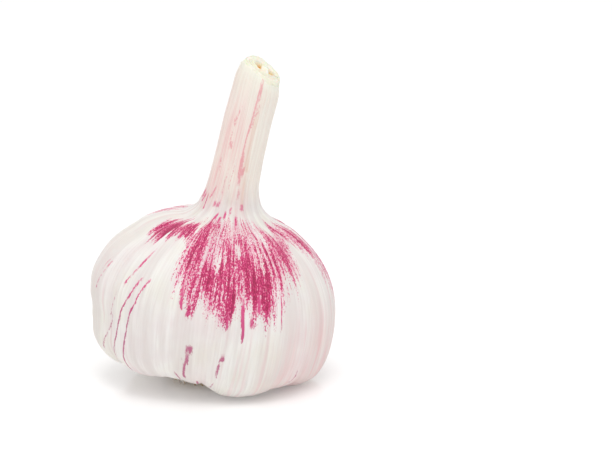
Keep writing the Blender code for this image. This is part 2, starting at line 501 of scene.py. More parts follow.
def cut_position(angle, raised, below=0.0):
    """The position where the neck's form, raised so far, passes so far below the cut (mm)."""
    angle, raised, below = np.broadcast_arrays(angle, raised, below)
    trial = np.linspace(13.0, SPANS, 50)
    heights = above_cut(bulb_surface(angle[:, None], trial[None, :], raised[:, None]))
    return crossing(heights, trial, below)


def worn(angle, share):
    """How far the cut is worn down (mm): the high side is rounded. share is 1 at the rim."""
    return RIM_WEAR * np.clip(-np.sin(angle + 0.25), 0, 1) ** 3 * share**3


print("the rim's front position:", cut_position(np.zeros(1), 0.0))

# %% The skin's relief
SHEATH_EDGE_POSITIONS = (12.0, 13.6, 14.6, 15.3, 16.6)
SHEATH_EDGE_ANGLES = np.radians((24.0, 26.0, 28.0, 30.0, 33.0))
SHEATH_EDGE_RISE = 0.3
# how the base stands out or in, between or under the cloves: degrees, spread, and how far (mm)
BASE_FILLS = ((-54, 17, 1.4), (-4, 10, 0.8), (20, 22, 0.6), (42, 8, -0.6), (62, 14, 0.7))
BASE_FILL_PLACES = (0.8, 2.2, 3.6, 5.2)
# the same for the high side: how far (mm), a power that narrows it, and where along the outline
HIGH_SIDE_FILLS = (
    (-0.50, 1, (10.3, 11.0, 11.6, 12.3)),
    (-0.50, 3, (6.0, 7.3, 8.9, 9.5)),
    (1.10, 3, (2.0, 3.2, 4.1, 5.0)),
    (-0.40, 3, (4.9, 5.4, 5.5, 6.0)),
)


def end_shift(angle, position):
    """The neck's end spreads a little on its low side and draws in on its high side (mm)."""
    low_side = 0.45 * np.clip(np.sin(angle), 0, 1) * eased(position, 15.4, 16.4)
    high_side = 0.5 * np.clip(-np.sin(angle), 0, 1) * eased(position, 15.3, 16.6)
    return low_side - high_side


def skin_relief(angle, position):
    """How far the skin stands proud of the smooth form, in mm."""
    body = window(position, 1.5, 3.0, 9.5, 12.0)
    shoulder = window(position, 8.0, 10.6, 11.8, 13.6)
    neck = eased(position, 12.2, 13.5)
    gathered = window(position, -1.0, 0.0, 1.2, 3.5)
    relief = body * layered(
        angle, position, (0.32, 13, 0.4, 1), (0.16, 29, 0.3, 2), (0.08, 71, 0.35, 3)
    )
    pleats = layered(angle, position, (0.6, 64, 0.25, 4), (0.4, 37, 0.3, 5))
    relief = relief + (0.34 * shoulder + 0.30 * gathered) * pleats
    relief = relief + neck * layered(
        angle, position, (0.25, 7, 0.4, 6), (0.12, 23, 0.35, 7), (0.05, 61, 0.4, 8)
    )
    edge = np.interp(position, SHEATH_EDGE_POSITIONS, SHEATH_EDGE_ANGLES)
    beyond = (angle - edge + math.pi) % math.tau - math.pi
    overlap = (1 - eased(beyond, -0.02, 0.10)) * eased(beyond, -1.9, -0.2)
    relief = relief + SHEATH_EDGE_RISE * overlap * window(position, 12.2, 13.4, 17.0, 18.0)
    high_side = np.clip(-np.sin(angle), 0, 1)
    for fill, narrowness, places in HIGH_SIDE_FILLS:
        relief = relief + fill * high_side**narrowness * window(position, *places)
    for middle, spread, fill in BASE_FILLS:
        filled = np.exp(-(((np.degrees(angle) - middle) / spread) ** 2))
        relief = relief + fill * filled * window(position, *BASE_FILL_PLACES)
    return relief + end_shift(angle, position) + 0.03 * patchy(angle, position, 127, 2.0, 9)


# %% The washes of magenta on the skin
# middle (degrees, position), half its width and half its length, and how strong it is
WASHES = (
    (9, 8.85, 35, 2.15, 0.79),
    (-52, 10.05, 16, 0.75, 1.04),
    (-34, 9.90, 15, 0.60, 0.88),
    (-19.5, 9.25, 8, 2.00, 0.96),
    (-14, 7.90, 6, 1.10, 0.76),
    (-8, 8.30, 7, 0.90, 1.08),
    (1, 7.70, 10, 1.05, 0.98),
    (15.5, 8.50, 9, 1.30, 1.20),
    (22, 8.40, 9, 1.25, 0.92),
    (31, 9.00, 11, 1.25, 0.92),
    (44, 9.60, 12, 1.40, 0.80),
    (6, 10.70, 38, 1.00, 0.50),
    (60, 10.10, 20, 0.90, 0.54),
    (76, 9.60, 13, 1.10, 0.78),
    (98, 8.60, 14, 1.80, 0.98),
    (105, 8.60, 34, 2.30, 0.68),
    (117, 9.30, 9, 1.40, 0.88),
    (148, 9.70, 13, 1.00, 0.90),
    (172, 8.30, 12, 1.60, 1.02),
    (180, 9.00, 30, 2.10, 0.68),
    (-163, 9.20, 10, 1.20, 0.88),
    (-132, 8.90, 14, 1.60, 0.98),
    (-125, 9.20, 28, 1.70, 0.64),
    (-104, 9.90, 13, 0.85, 0.78),
)
BARE = (
    (-3, 9.20, 5, 0.60, 0.42),
    (8.5, 9.35, 3, 0.35, 0.45),
    (25, 9.45, 3, 0.50, 0.45),
    (-46, 8.60, 8, 0.90, 0.60),
    (130, 8.20, 8, 1.20, 0.50),
)
BLUSHES = (
    (-50, 13.2, 45, 1.60, 1.0),
    (-30, 15.0, 40, 1.30, 0.9),
    (-75, 15.2, 35, 1.60, 0.8),
    (5, 14.6, 16, 1.60, 0.7),
    (15, 12.6, 25, 1.20, 0.6),
    (-120, 14.2, 40, 1.80, 0.8),
    (150, 13.6, 45, 1.60, 0.9),
    (60, 4.6, 35, 2.80, 0.65),
    (95, 5.5, 30, 2.50, 0.40),
    (-85, 7.0, 20, 2.50, 0.15),
    (-150, 5.0, 40, 2.50, 0.45),
)


def wash(angle, position, spots):
    """The strongest of a set of soft oval spots at each point."""
    result = np.zeros(np.shape(angle))
    for middle, at, half_width, half_length, strength in spots:
        apart = (np.degrees(angle) - middle + 180) % 360 - 180
        distance = np.hypot(apart / half_width, (position - at) / half_length)
        result = np.maximum(result, strength * (1 - eased(distance, 0.35, 1.25)))
    return result


# low on the bulb the strands of the stain swing round by a few degrees, between two positions
STAIN_SWING = 2.0
SWING_PLACES = (8.5, 10.5)


def stain_wash(angle, position, spots):
    """Soft oval spots whose ends run out at a different length along each strand."""
    run = layered(angle, position, (0.50, 170, 0.15, 51), (0.32, 61, 0.2, 52))
    swing = math.radians(STAIN_SWING) * (1 - eased(position, *SWING_PLACES))
    return wash(angle - swing, position + run, spots)


# %% Model the skin
SKIN_COLUMNS = 384
OUTSIDE_ROWS = 205
RIM_ROWS = 4
INSIDE_ROWS = 40
SKIN_ROWS = OUTSIDE_ROWS + RIM_ROWS + INSIDE_ROWS
SKIN_THICKNESS = 0.25
RESTING_HEIGHT = 0.05
# how far the skin has peeled back from the cut (mm), and over which degrees
PEELED = 0.8
PEELED_PLACES = (2.0, 40.0, 85.0, 130.0)
# how far the rim curls in over the cut sheaths (mm)
RIM_CURL = 0.55

even = np.linspace(0.0, SPANS, 2000)
crest = outline_at(even)
crest_length = np.concatenate(
    ([0.0], np.cumsum(np.hypot(np.diff(crest[:, 0]), np.diff(crest[:, 1]))))
)


def evenly(share, first, last):
    """Positions that are evenly spaced by length between two positions."""
    start, end = np.interp(first, even, crest_length), np.interp(last, even, crest_length)
    return np.interp(start + share * (end - start), crest_length, even)


def skin_shape(turn, row):
    row = row % SKIN_ROWS
    angle = math.tau * turn - math.pi
    columns = math.tau * np.arange(SKIN_COLUMNS) / SKIN_COLUMNS - math.pi
    ragged = layered(columns, 0, (0.16, 41, 1, 10), (0.10, 113, 1, 12))
    teeth = layered(columns, 0, (0.18, 17, 1, 11), (0.12, 79, 1, 13))
    column = np.round(turn * SKIN_COLUMNS).astype(int) % SKIN_COLUMNS
    first = np.clip(0.1 + ragged, 0.0, 1.0)[column]
    peeled = PEELED * window(np.degrees(columns), *PEELED_PLACES)
    last = cut_position(columns, 0.0, worn(columns, 1.0) + 0.4 + teeth + peeled)[column]
    outside = row <= OUTSIDE_ROWS
    rim = (row > OUTSIDE_ROWS) & (row <= OUTSIDE_ROWS + RIM_ROWS)
    up = np.clip(row / OUTSIDE_ROWS, 0, 1)
    down = np.clip((row - OUTSIDE_ROWS - RIM_ROWS) / INSIDE_ROWS, 0, 1)
    over = np.clip((row - OUTSIDE_ROWS) / (RIM_ROWS + 1), 0, 1)
    position = np.where(outside, evenly(up, first, last), evenly(1 - down, first, last))
    position = np.where(rim, last + 0.010 * np.sin(math.pi * over), position)
    relief = skin_relief(angle, position)
    curl = RIM_CURL * eased(position, last - 0.16, last + 0.01)
    inset = np.where(outside, 0.0, SKIN_THICKNESS * np.where(rim, over, 1.0))
    slack = np.where(outside | rim, 0.0, 0.1 * np.sin(math.pi * down))
    points = bulb_surface(angle, position, relief - curl - inset - slack)
    lowest = np.where(outside, RESTING_HEIGHT, RESTING_HEIGHT + SKIN_THICKNESS) * MM
    points[:, 2] = np.maximum(points[:, 2], lowest)
    chart = np.stack((turn, position / SPANS), axis=-1)
    magenta = stain_wash(angle, position, WASHES) - stain_wash(angle, position, BARE)
    blush = wash(angle, position, BLUSHES)
    # painted shade: the groove mark darkens the paper along the creases between the cloves
    groove = np.abs(clove_at(angle)[1]) ** 6 * window(position, 0, 1, 8, 11)
    rim_white = eased(position, last - 0.10, last - 0.01)
    marks = {"magenta": magenta, "blush": blush, "groove": groove, "rim": rim_white}
    return points, chart, marks


skin = wrapped_sheet("papery_skin", SKIN_COLUMNS, SKIN_ROWS, skin_shape)
print("skin faces:", len(skin.data.polygons), "box:", [round(d / MM, 2) for d in skin.dimensions])

# %% [markdown]
# ## The skin's finish
#
# The paper is ivory, with long pale fibres and faint pink veins. The magenta is a stain in its
# cells: it follows the fibres as streaks, breaks up into specks where it is weak, and is darkest
# where streaks lie together. Noise on a cylinder gives all of this without a seam. Soft washes
# say where the stain is, streak noise and speck noise are added to them, and one threshold turns
# the sum into ragged ink.

# %% Places on the chart


def chart_places(finish):
    """The turn in degrees, the position, and a maker of seamless noise vectors."""
    chart = finish.node("ShaderNodeUVMap", {"uv_map": "chart"}).outputs["UV"]
    parts = finish.node("ShaderNodeSeparateXYZ", {}, chart)
    turn = finish.signal(parts.outputs["X"])
    position = finish.signal(parts.outputs["Y"]) * SPANS
    x, y = (turn * math.tau).cosine(), (turn * math.tau).sine()

    def around(cells, along, shift=0.0):
        radius = cells / math.tau
        vector = finish.node(
            "ShaderNodeCombineXYZ", {}, x * radius, y * radius, position * along + shift
        )
        return vector.outputs["Vector"]

    return turn * 360 - 180, position, around


# %% Strokes of the stain
# the tan edge of the sheath that laps over the neck
VEILS = (
    ((27, 16.4), (16, 15.4), (18, 14.0), 6.0, 1.0),
    ((19, 14.2), (21, 13.4), (22, 12.3), 4.5, 0.8),
)
# three (degrees, position) places along each, its half width in degrees and its strength
STROKES = (
    ((-40, 7.9), (-50, 6.1), (-60, 2.6), 0.58, 0.92),
    ((-36, 7.9), (-46.5, 5.2), (-50, 2.6), 0.55, 0.90),
    ((-57, 6.1), (-64, 4.9), (-70, 4.0), 0.55, 0.62),
    ((-45, 9.1), (-48, 8.0), (-53, 7.1), 0.80, 0.62),
    ((-55, 7.0), (-58, 6.3), (-63, 5.5), 0.60, 0.35),
    ((-67, 8.2), (-72, 7.2), (-75, 6.4), 0.60, 0.35),
    ((-65, 8.5), (-70, 8.0), (-74, 7.2), 0.50, 0.30),
    ((-12, 5.4), (-13.5, 4.6), (-14, 3.6), 0.75, 0.85),
    ((-11.8, 5.5), (-12, 5.3), (-12.2, 5.1), 1.70, 0.90),
    ((-12.2, 5.3), (-12.6, 5.0), (-13, 4.6), 1.10, 0.80),
    ((-16, 4.9), (-15, 4.7), (-14, 4.4), 0.50, 0.45),
    ((4, 5.5), (4, 5.35), (3.9, 5.1), 1.10, 0.90),
    ((4, 5.3), (3.2, 4.8), (2.6, 4.3), 0.65, 0.66),
    ((2.6, 4.4), (1.6, 3.8), (0.4, 3.2), 0.45, 0.40),
    ((-19, 4.0), (-18.5, 3.7), (-17.5, 3.2), 0.55, 0.75),
    ((-7, 3.7), (-7, 3.4), (-7, 3.0), 0.60, 0.60),
    ((4, 7.4), (4, 6.9), (4, 6.4), 0.60, 0.90),
    ((10.4, 8.0), (10.8, 7.1), (12, 6.1), 0.75, 1.00),
    ((15.5, 7.3), (15.5, 7.0), (15.5, 6.6), 1.00, 0.55),
    ((19, 8.0), (19, 7.6), (19, 7.1), 0.90, 0.90),
    ((25, 8.6), (25, 7.9), (25, 7.3), 0.60, 0.80),
    ((31, 8.3), (31, 7.4), (31, 6.5), 0.45, 0.70),
    ((-20, 8.3), (-19, 7.6), (-18, 6.9), 0.60, 0.80),
    ((-13, 7.2), (-14, 6.9), (-15, 6.6), 1.10, 0.60),
    ((47, 5.0), (48, 4.6), (45, 4.1), 0.70, 0.45),
    ((22, 16.9), (5, 15.3), (8, 13.6), 2.40, 0.90),
    ((17, 16.2), (12, 15.7), (6, 15.3), 4.20, 0.50),
    ((4, 15.0), (6, 14.4), (9, 13.5), 3.60, 0.85),
    ((11, 14.17), (11, 14.02), (11, 13.85), 4.50, 1.15),
    ((-20, 15.95), (-25, 15.75), (-29, 15.5), 2.60, 0.55),
    ((-31, 15.62), (-31, 15.52), (-31, 15.42), 5.00, 0.70),
    ((-31, 15.5), (-32, 15.2), (-28, 14.7), 2.60, 0.50),
    ((-8, 14.6), (-10, 13.9), (-10, 13.2), 1.80, 0.45),
    ((-18, 14.3), (-20, 13.6), (-22, 12.9), 1.80, 0.50),
    ((-46, 14.4), (-43, 14.1), (-41, 13.8), 2.60, 0.60),
    ((-38, 13.3), (-42, 12.9), (-46, 12.5), 2.40, 0.70),
    ((-62, 12.9), (-64, 12.5), (-66, 12.1), 2.60, 0.75),
    ((-22, 12.6), (-23, 12.4), (-24, 12.1), 3.50, 0.60),
    ((12, 13.4), (12, 13.1), (12, 12.8), 3.00, 0.50),
    ((-6, 12.0), (-6, 11.7), (-7, 11.4), 1.80, 0.80),
    ((-16, 11.9), (-18, 11.5), (-20, 11.1), 1.60, 0.90),
    ((-11, 11.6), (-12, 11.3), (-13, 10.9), 1.40, 0.90),
    ((10, 11.9), (10, 11.3), (9, 10.6), 1.00, 0.70),
    ((-50, 11.2), (-52, 10.9), (-54, 10.5), 1.40, 0.70),
    ((-27, 14.92), (-27, 14.80), (-27, 14.68), 5.0, 0.85),
    ((-72, 13.0), (-73, 12.7), (-74, 12.3), 4.5, 0.85),
    ((-55, 12.9), (-55, 12.4), (-50, 11.7), 2.4, 0.90),
    ((-31, 12.5), (-31, 12.3), (-31, 12.1), 3.5, 0.45),
    ((23, 12.6), (23, 12.35), (22, 12.1), 4.0, 0.75),
    ((2, 12.3), (2, 12.1), (2, 11.8), 2.5, 0.60),
    ((88, 7.0), (90, 5.6), (94, 4.0), 0.60, 0.60),
    ((105, 6.8), (106, 5.9), (108, 5.0), 0.50, 0.50),
    ((142, 7.6), (144, 6.0), (147, 4.2), 0.60, 0.70),
    ((-172, 6.6), (-171, 5.6), (-170, 4.6), 0.60, 0.60),
    ((-150, 7.4), (-148, 6.0), (-147, 4.6), 0.55, 0.65),
    ((-118, 7.6), (-120, 6.2), (-124, 4.4), 0.60, 0.60),
    ((-98, 6.6), (-97, 5.4), (-97, 4.2), 0.60, 0.50),
)


def strokes_of(strokes, degrees, position):
    """The darkness of the strongest stroke at each place."""
    result = None
    for start, middle, end, half_width, strength in strokes:
        angles, positions = zip(start, middle, end)
        bend, slant, base = (float(value) for value in np.polyfit(positions, angles, 2))
        across = (degrees - (base + position * (slant + position * bend))).absolute()
        reach = min(0.9, 0.55 * (start[1] - end[1]))
        along = position.step(end[1] - 0.1, end[1] + 0.1) * position.step(start[1] + 0.1, start[1] - reach)
        line = across.step(half_width * 1.5, half_width * 0.4) * along * strength
        result = line if result is None else result.most(line)
    return result


# %% Noises for the skin's finish
# what each one makes: cells round and along, a shift that keeps it apart, detail and roughness
SKIN_NOISES = {
    "fibre": (300, 0.55, 0.0, 3.0, 0.6),
    "fine": (900, 1.2, 40.0, 2.0, 0.5),
    "tint": (16, 0.6, 80.0, 2.0, 0.5),
    "vein": (95, 0.22, 120.0, 2.0, 0.55),
    "streak": (270, 0.50, 160.0, 3.0, 0.65),
    "broad": (46, 1.0, 200.0, 2.0, 0.5),
    "speck": (520, 7.5, 0.0, 2.0, 0.7),
    "waver": (44, 1.4, 240.0, 1.0, 0.5),
    "strand": (88, 0.30, 280.0, 2.0, 0.6),
    "fleck": (600, 15.0, 320.0, 1.0, 0.5),
    "band": (34, 0.14, 360.0, 2.0, 0.5),
    "neck_grain": (84, 15.0, 400.0, 2.0, 0.7),
    "dash": (60, 4.5, 440.0, 2.0, 0.5),
}
NECK_PLACES = (12.0, 14.0)

# %% [markdown]
# The paper's colour is laid on in layers, as thin washes are: each is a share, worked out from
# the noises, and a colour that goes over what is there.

# %% The colour of the paper


def paper_colour(finish, degrees, position, neck, noise):
    """Ivory paper with fibres, veins and bands, painted shade along the grooves between the cloves, and
    the neck's own creams and blushes.
    """
    fibre, strand = noise["fibre"], noise["strand"]
    end = position.step(15.9, 17.0)
    paper = finish.ramp(
        noise["tint"],
        (0.32, srgb(236, 233, 222)),
        (0.50, srgb(240, 236, 231)),
        (0.68, srgb(236, 227, 225)),
    )
    pale = fibre.step(0.48, 0.30) * noise["broad"].step(0.3, 0.7)
    rosy = 0.22 + 0.30 * noise["streak"].step(0.40, 0.66) + 0.48 * strand.step(0.46, 0.68)
    veil = strokes_of(VEILS, degrees + 6.0 * (noise["waver"] - 0.5), position)
    # each layer goes over the ones before it: how much of it, and its colour
    layers = (
        (fibre.step(0.40, 0.72) * 0.45, (222, 212, 208)),
        (pale * 0.5, (247, 244, 240)),
        (noise["vein"].step(0.55, 0.70) * 0.44, (227, 192, 194)),
        (noise["band"].step(0.44, 0.62) * 0.55, (221, 211, 207)),
        # painted shade along the grooves between the cloves
        (finish.attribute("groove") * 0.30, (226, 205, 204)),
        (neck * 0.80, (249, 242, 230)),
        (neck * fibre.step(0.44, 0.64) * 0.45, (233, 212, 200)),
        (finish.attribute("blush") * rosy * 0.80, (236, 178, 180)),
        (veil * (0.15 + 0.75 * strand.step(0.36, 0.62)) * 0.7, (230, 188, 168)),
        (finish.attribute("rim") * 0.75, (250, 247, 235)),
        (end * 0.5, (240, 238, 210)),
    )
    for share, colour in layers:
        paper = finish.blend(share, paper, srgb(*colour))
    return paper


# %% [markdown]
# The ink is the washes with streaks and specks added, cut off at a threshold, or a drawn stroke
# where that is darker. Its dye is brightest where it is thin, dull on the lower half of the bulb
# and salmon on the neck.

# %% The magenta ink


def magenta_ink(finish, degrees, position, neck, noise):
    """How much ink there is, how much pink glow is under it, and the colour of its dye."""
    magenta = finish.attribute("magenta")
    streak, strand, speck, waver = (noise[name] for name in ("streak", "strand", "speck", "waver"))
    grainy = 1.6 * (speck - 0.5) + 1.9 * (noise["fleck"] - 0.5)
    stain = magenta + 2.5 * (streak - 0.5) + 1.2 * (strand - 0.5) + 0.6 * (noise["broad"] - 0.5)
    stain = stain + grainy
    spread = stain.step(0.38, 0.72) * magenta.step(0.02, 0.22)

    sideways = (waver - 0.5) * (1.6 + 8.0 * neck)
    shifted = degrees - STAIN_SWING * position.step(*reversed(SWING_PLACES))
    lines = strokes_of(STROKES, shifted + sideways, position + 0.5 * (speck - 0.5))
    broken = speck + neck * (noise["neck_grain"] - speck)
    drawn = 1.15 * lines + (1.3 + 1.2 * neck) * (broken - 0.5) + 1.0 * (streak - 0.5)
    drawn = drawn + 1.5 * (1 - neck) * (noise["dash"] - 0.5)
    faint = (1 - 0.45 * neck) * (1 - 0.12 * position.step(6.4, 5.6))
    ink = spread.most(drawn.step(0.10, 1.0) * lines.step(0.0, 0.25) * faint)

    dye = finish.ramp(
        stain.step(0.60, 1.55),
        (0.0, srgb(218, 76, 134)),
        (0.40, srgb(198, 28, 98)),
        (1.0, srgb(150, 2, 68)),
    )
    dye = finish.blend(position.step(7.6, 5.2) * 0.65, dye, srgb(154, 58, 110))
    dye = finish.blend(neck * 0.55, dye, srgb(232, 104, 116))
    return ink, magenta.step(0.10, 0.9) * 0.42, dye


# %% [markdown]
# The ink lies over the paper, with a pink glow round it where the dye has bled. Fibres and specks
# also give the paper its fine relief.

# %% Mix the skin's finish


def skin_finish():
    finish = Finish(
        "papery skin",
        Subsurface_Weight=0.12,
        Subsurface_Scale=0.0012,
        Subsurface_Radius=(1.0, 0.7, 0.6),
        Specular_IOR_Level=0.16,
        Sheen_Weight=0.02,
        Sheen_Roughness=0.4,
    )
    degrees, position, around = chart_places(finish)
    noise = {
        name: finish.noise(around(*cells), detail=detail, roughness=roughness)
        for name, (*cells, detail, roughness) in SKIN_NOISES.items()
    }
    neck = position.step(*NECK_PLACES)
    paper = paper_colour(finish, degrees, position, neck, noise)
    ink, glow, dye = magenta_ink(finish, degrees, position, neck, noise)
    glowing = finish.blend(glow, paper, srgb(238, 160, 188))
    height = 0.45 * noise["fibre"] + 0.5 * noise["fine"] + 0.12 * noise["speck"]
    return finish.done(
        Base_Color=finish.blend(ink * 0.95, glowing, dye),
        Roughness=0.40 + 0.22 * noise["fibre"] + 0.10 * (1 - ink),
        Normal=finish.bump(height, 0.00016, strength=0.7),
    )


hand_over(skin, skin_finish(), "papery_skin", "outer_skin")

# %% [markdown]
# ## Shreds of skin
#
# Round the root plate the skin ends in torn shreds: narrow tapering tongues of the same paper that
# bend in over the plate's edge. Each one is a small grid bent into place, they are joined, and a
# Solidify modifier gives them the thickness of paper. They share the skin's finish, so each one
# also gets its place on the skin's chart.

# %% Model the shreds
SHRED_COUNT = 64
SHRED_STEPS = 8
SHRED_THICKNESS = 0.12
# from where on the outline they grow, and how far under the skin they start (mm)
SHRED_ROOT = 0.7
SHRED_ROOT_DEPTH = 0.45
# about how far from the middle they grow, the height that their tips drop from, and the lowest
# height that a shred may have (mm)
SHRED_RADIUS = 12.0
SHRED_TIP = 0.9
SHRED_LOWEST = 0.3
shred_dice = np.random.default_rng(61)


def shred_point(across, along, middle, width, reach, drop, drift):
    """A point of a shred (mm): across it from -1 to 1, and along it from root (0) to tip (1)."""
    edge = width * (1 - along) ** 0.6 * 0.5 * across
    angle = middle + drift * along**2 + edge / SHRED_RADIUS
    root = bulb_surface(np.array(angle), np.array(SHRED_ROOT), -SHRED_ROOT_DEPTH) / MM
    distance = np.hypot(root[0], root[1])
    out = 1 - (distance - reach) * along / distance
    sag = 0.25 * math.sin(math.pi * along) + 0.15 * abs(across) * along
    height = root[2] + (SHRED_TIP + drop - root[2]) * along**1.5 + sag
    return root[0] * out, root[1] * out, max(height, SHRED_LOWEST)


shreds = []
for number in range(SHRED_COUNT):
    bpy.ops.object.select_all(action="DESELECT")
    bpy.ops.mesh.primitive_grid_add(x_subdivisions=2, y_subdivisions=SHRED_STEPS, size=1)
    shred = named("shred")
    middle = math.tau * (number + shred_dice.uniform(-0.4, 0.4)) / SHRED_COUNT
    width = shred_dice.uniform(0.7, 1.9)
    reach = shred_dice.uniform(9.0, 11.2)
    drop = shred_dice.uniform(-0.6, -0.1)
    drift = shred_dice.uniform(-0.10, 0.10)
    for vertex in shred.data.vertices:
        across, along = vertex.co.x * 2, vertex.co.y + 0.5
        vertex.co = Vector(shred_point(across, along, middle, width, reach, drop, drift)) * MM
    shred.data.uv_layers[0].name = "chart"
    for entry in shred.data.uv_layers["chart"].data:
        entry.uv = ((middle / math.tau + 0.5 + entry.uv.x * 0.03) % 1.0, (0.5 + entry.uv.y) / SPANS)
    shreds.append(shred)
torn = joined(shreds, "skin_shreds")
only(torn)
paper_sheet = torn.modifiers.new("paper", "SOLIDIFY")
paper_sheet.thickness = SHRED_THICKNESS * MM
bpy.ops.object.modifier_apply(modifier=paper_sheet.name)
hand_over(torn, skin.data.materials[0], "papery_skin")

# %% [markdown]
# ## The cut neck
#
# The neck is a roll of leaf sheaths round a flower stalk. Where it is cut off on a slant, the
# sheaths show as pale layers, greenish cream and fibrous, with their rims rounded by drying. The
# stalk in the middle has shrunk to a white ridge between two golden hollows.
#
# The sheaths are one closed ring here: its rows go up the outside, across the cut in small steps
# that read as layers, and down round the hollow. Turning a profile can't make it, since the cut
# is slanted and the hollow is long and narrow, so it is a wrapped sheet as the skin is.

# %% Model the sheaths
SHEATH_COLUMNS = 160
SHEATH_OUT_ROWS = 20
SHEATH_FACE_ROWS = 34
SHEATH_HOLLOW_ROWS = 14
SHEATH_DOWN_ROWS = 20
SHEATH_ROWS = SHEATH_OUT_ROWS + SHEATH_FACE_ROWS + SHEATH_HOLLOW_ROWS + SHEATH_DOWN_ROWS
SHEATH_START = 11.8
SHEATH_INSET = 0.6
# how thick the sheath is lower down, between its outside and its inside (mm)
SHEATH_WALL = 0.9
HOLLOW_LENGTH = 2.9
HOLLOW_WIDTH = 1.9
HOLLOW_SHIFT = 0.9
HOLLOW_DEPTH = 4.5
NECK_RADIUS = 5.9
# where one layer ends and the next begins: shares of the way from the rim to the hollow
LAYER_GAPS = (0.24, 0.47, 0.72)
LAYER_GAP_DEPTH = 0.42
# how much further in the sheath lies below the neck, and where it moves out
FOOT_INSET = 1.1
FOOT_PLACES = (13.6, 15.4)


def hollow_radius(angle):
    """How far the wavy edge of the oval hollow is from the neck's middle (mm)."""
    across, along = np.sin(angle) / HOLLOW_LENGTH, np.cos(angle) / HOLLOW_WIDTH
    shift = HOLLOW_SHIFT / HOLLOW_LENGTH
    slant = across**2 + along**2
    oval = (across * shift + np.sqrt((across * shift) ** 2 + slant * (1 - shift**2))) / slant
    return oval * (1 + layered(angle, 0, (0.10, 9, 1, 21), (0.04, 31, 1, 22)))


def wandering(angle, share):
    """The share of the way across the cut, made to wander so that no layer is a true ring."""
    return share + layered(angle, 0, (0.03, 11, 1, 23), (0.015, 37, 1, 24))


def layer_gaps(angle, share, width):
    """1 in the gaps between the layers, fading to 0 over so much of the share."""
    place = wandering(angle, share)
    return sum(np.exp(-(((place - middle) / width) ** 2)) for middle in LAYER_GAPS)


def layer_steps(angle, share):
    """How far the cut stands below its plane (mm), from the outer rim to the hollow."""
    rounded = 0.55 * (1 - eased(share, 0.0, 0.14)) + 0.7 * eased(share, 0.86, 1.0) ** 2
    gaps = LAYER_GAP_DEPTH * layer_gaps(angle, share, 0.022)
    levels = 0.12 * np.sin(wandering(angle, share) * 21.0)
    crumbs = 0.07 * patchy(angle, share * 8, 29, 1.3, 25) + 0.05 * patchy(angle, share * 14, 83, 1.2, 26)
    return rounded + gaps + levels + crumbs


def sheath_shape(turn, row):
    row = row % SHEATH_ROWS
    angle = math.tau * turn - math.pi
    out = np.clip(row / SHEATH_OUT_ROWS, 0, 1)
    face = np.clip((row - SHEATH_OUT_ROWS) / SHEATH_FACE_ROWS, 0, 1)
    sunk = row - SHEATH_OUT_ROWS - SHEATH_FACE_ROWS
    hollow = np.clip(sunk / SHEATH_HOLLOW_ROWS, 0, 1)
    down = np.clip((sunk - SHEATH_HOLLOW_ROWS) / SHEATH_DOWN_ROWS, 0, 1)
    widest = NECK_RADIUS - hollow_radius(angle)
    inset = SHEATH_INSET + (widest - SHEATH_INSET) * face
    below = worn(angle, 1 - inset / NECK_RADIUS) + layer_steps(angle, face)
    below = below + HOLLOW_DEPTH * hollow
    top = cut_position(angle, -inset, below)
    inset = inset + (SHEATH_INSET + SHEATH_WALL - inset) * eased(down, 0.0, 0.6)
    position = np.where(
        row <= SHEATH_OUT_ROWS, evenly(out, SHEATH_START, top), evenly(1 - down, SHEATH_START, top)
    )
    inset = inset + FOOT_INSET * (1 - eased(position, *FOOT_PLACES))
    points = bulb_surface(angle, position, end_shift(angle, position) - inset)
    chart = np.stack((turn, face + 2 * hollow), axis=-1)
    deep = eased(hollow + 0.12 * eased(face, 0.90, 1.0), 0.0, 0.25)
    return points, chart, {"deep": deep, "gap": layer_gaps(angle, face, 0.03)}


sheaths = wrapped_sheet("neck_sheaths", SHEATH_COLUMNS, SHEATH_ROWS, sheath_shape)

# %% [markdown]
# The stalk is a rod with a pole at each end. Its top is the floor of the two hollows and the
# ridge that stands between them.

# %% Model the cut stalk
STALK_COLUMNS = 72
STALK_FOOT_ROWS = 4
STALK_SIDE_ROWS = 40
STALK_TOP_ROWS = 26
STALK_ROWS = STALK_FOOT_ROWS + STALK_SIDE_ROWS + STALK_TOP_ROWS
STALK_FOOT = 3.4
STALK_RADIUS = 2.7
# how far the stalk's top reaches past the hollow's edge, into the sheath
STALK_GRIP = 0.35
# how deep the pits are under the cut, how high the ridge stands in them, and its place
PIT_DEPTH = 1.7
RIDGE_RISE = 1.45
RIDGE_HALF = 1.1
RIDGE_SHIFT = 1.4


def stalk_shape(turn, row):
    angle = math.tau * turn - math.pi
    foot = np.clip(row / STALK_FOOT_ROWS, 0, 1)
    side = np.clip((row - STALK_FOOT_ROWS) / STALK_SIDE_ROWS, 0, 1)
    top = np.clip((row - STALK_FOOT_ROWS - STALK_SIDE_ROWS) / STALK_TOP_ROWS, 0, 1)
    spread = eased(side, 0.55, 0.95)
    radius = STALK_RADIUS + (hollow_radius(angle) + STALK_GRIP - STALK_RADIUS) * spread
    radius = radius * (1 + 0.04 * patchy(angle, side * 6, 19, 0.8, 31))
    radius = radius * foot * (1 - top)
    across = radius * np.sin(angle) - RIDGE_SHIFT
    ridge = 1 - eased(np.abs(across), RIDGE_HALF * 0.8, RIDGE_HALF * 1.4)
    crumbs = layered(angle, top * 9, (0.16, 13, 1.2, 32), (0.10, 31, 1.6, 33))
    below = PIT_DEPTH - RIDGE_RISE * ridge + crumbs
    trial = np.linspace(60.0, 96.0, 60)
    heights = above_cut(placed(radius[:, None], angle[:, None], trial[None, :]))
    roof = crossing(heights, trial, below)
    height = STALK_FOOT + (roof - STALK_FOOT) * side
    points = placed(radius, angle, height)
    chart = np.stack((turn, side + top), axis=-1)
    return points, chart, {"deep": eased(side, 0.9, 1.0) * (1 - ridge), "gap": 0.0 * side}


